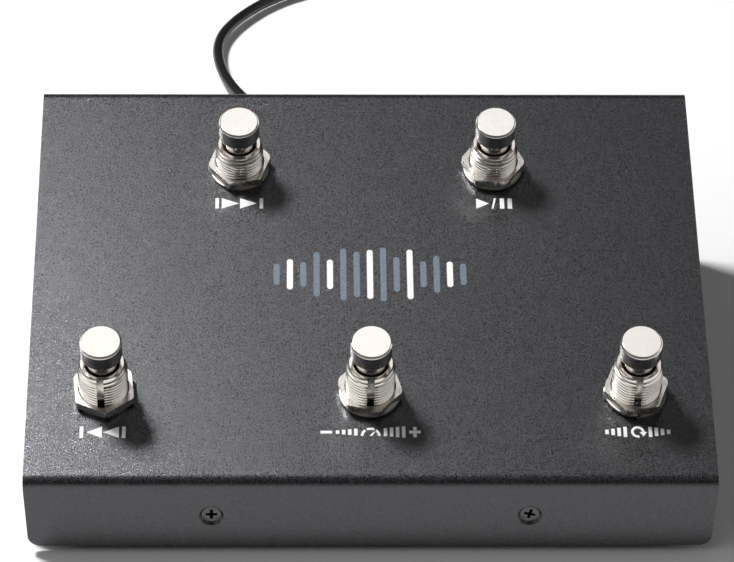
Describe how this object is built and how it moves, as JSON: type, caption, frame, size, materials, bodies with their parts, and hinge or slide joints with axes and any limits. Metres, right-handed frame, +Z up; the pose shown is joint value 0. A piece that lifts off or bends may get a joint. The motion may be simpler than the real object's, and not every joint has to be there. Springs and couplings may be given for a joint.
{
  "type": "foot controller",
  "caption": "Sloping sheet-metal foot controller with round metal footswitches in two staggered rows and a data lead with a plug.",
  "frame": {"origin": "on the ground under the middle of the case, lead not counted", "axes": "+X to the right of a user who faces the front edge, +Y to the rear, +Z up"},
  "size_m": [0.1831, 0.3015, 0.0663],
  "materials": {
    "case_coating": "fine textured black powder coat",
    "tray_coating": "satin black powder coat",
    "black_screw": "satin black oxide",
    "zinc_steel": "zinc plated",
    "bright_nickel": "bright nickel plate",
    "foot_rubber": "matt",
    "board_laminate": "green solder mask",
    "black_plastic": "moulded",
    "white_plastic": "moulded",
    "wire_sleeve": "soft insulation",
    "cord_jacket": "smooth, slightly glossy",
    "tie_strap": "matt",
    "grip_plastic": "moulded, satin",
    "plug_steel": "plated sheet",
    "tinned_brass": "tinned",
    "spring_steel": "drawn wire"
  },
  "bodies": {
    "case": {"top_cover": "case_coating", "base_tray": "tray_coating", "front_cover_screws": "black_screw", "rear_cover_screws": "black_screw", "press_nuts": "zinc_steel", "rubber_feet": "foot_rubber", "hex_nuts": "bright_nickel", "lock_washers": "bright_nickel", "inner_nuts": "zinc_steel", "circuit_board": "board_laminate", "board_standoffs": "zinc_steel", "board_screws": "zinc_steel", "controller_chip": "black_plastic", "wire_headers": "white_plastic", "lead_socket": "white_plastic", "switch_wires": "wire_sleeve", "inner_lead": "cord_jacket", "cord_gland": "cord_jacket", "cord_run": "cord_jacket", "cord_coil": "cord_jacket", "cord_tail": "cord_jacket", "coil_tie": "tie_strap", "plug_grip": "grip_plastic", "plug_shell": "plug_steel", "plug_insert": "white_plastic", "front_left_bushing": "bright_nickel", "front_left_contact_block": "black_plastic", "front_left_terminals": "tinned_brass", "front_left_return_spring": "spring_steel", "front_middle_bushing": "bright_nickel", "front_middle_contact_block": "black_plastic", "front_middle_terminals": "tinned_brass", "front_middle_return_spring": "spring_steel", "front_right_bushing": "bright_nickel", "front_right_contact_block": "black_plastic", "front_right_terminals": "tinned_brass", "front_right_return_spring": "spring_steel", "rear_left_bushing": "bright_nickel", "rear_left_contact_block": "black_plastic", "rear_left_terminals": "tinned_brass", "rear_left_return_spring": "spring_steel", "rear_right_bushing": "bright_nickel", "rear_right_contact_block": "black_plastic", "rear_right_terminals": "tinned_brass", "rear_right_return_spring": "spring_steel"},
    "front_left_button": {"front_left_plunger": "bright_nickel", "front_left_cap": "bright_nickel"},
    "front_middle_button": {"front_middle_plunger": "bright_nickel", "front_middle_cap": "bright_nickel"},
    "front_right_button": {"front_right_plunger": "bright_nickel", "front_right_cap": "bright_nickel"},
    "rear_left_button": {"rear_left_plunger": "bright_nickel", "rear_left_cap": "bright_nickel"},
    "rear_right_button": {"rear_right_plunger": "bright_nickel", "rear_right_cap": "bright_nickel"}
  },
  "joints": [
    {"name": "front_left_press", "type": "slide", "parent": "case", "child": "front_left_button", "axis": [0, 0.2588, -0.9659], "range_m": [0, 0.003], "stiffness_N_per_m": 1000, "springref_m": -0.002, "deforming": ["front_left_return_spring"]},
    {"name": "front_middle_press", "type": "slide", "parent": "case", "child": "front_middle_button", "axis": [0, 0.2588, -0.9659], "range_m": [0, 0.003], "stiffness_N_per_m": 1000, "springref_m": -0.002, "deforming": ["front_middle_return_spring"]},
    {"name": "front_right_press", "type": "slide", "parent": "case", "child": "front_right_button", "axis": [0, 0.2588, -0.9659], "range_m": [0, 0.003], "stiffness_N_per_m": 1000, "springref_m": -0.002, "deforming": ["front_right_return_spring"]},
    {"name": "rear_left_press", "type": "slide", "parent": "case", "child": "rear_left_button", "axis": [0, 0.2588, -0.9659], "range_m": [0, 0.003], "stiffness_N_per_m": 1000, "springref_m": -0.002, "deforming": ["rear_left_return_spring"]},
    {"name": "rear_right_press", "type": "slide", "parent": "case", "child": "rear_right_button", "axis": [0, 0.2588, -0.9659], "range_m": [0, 0.003], "stiffness_N_per_m": 1000, "springref_m": -0.002, "deforming": ["rear_right_return_spring"]}
  ]
}
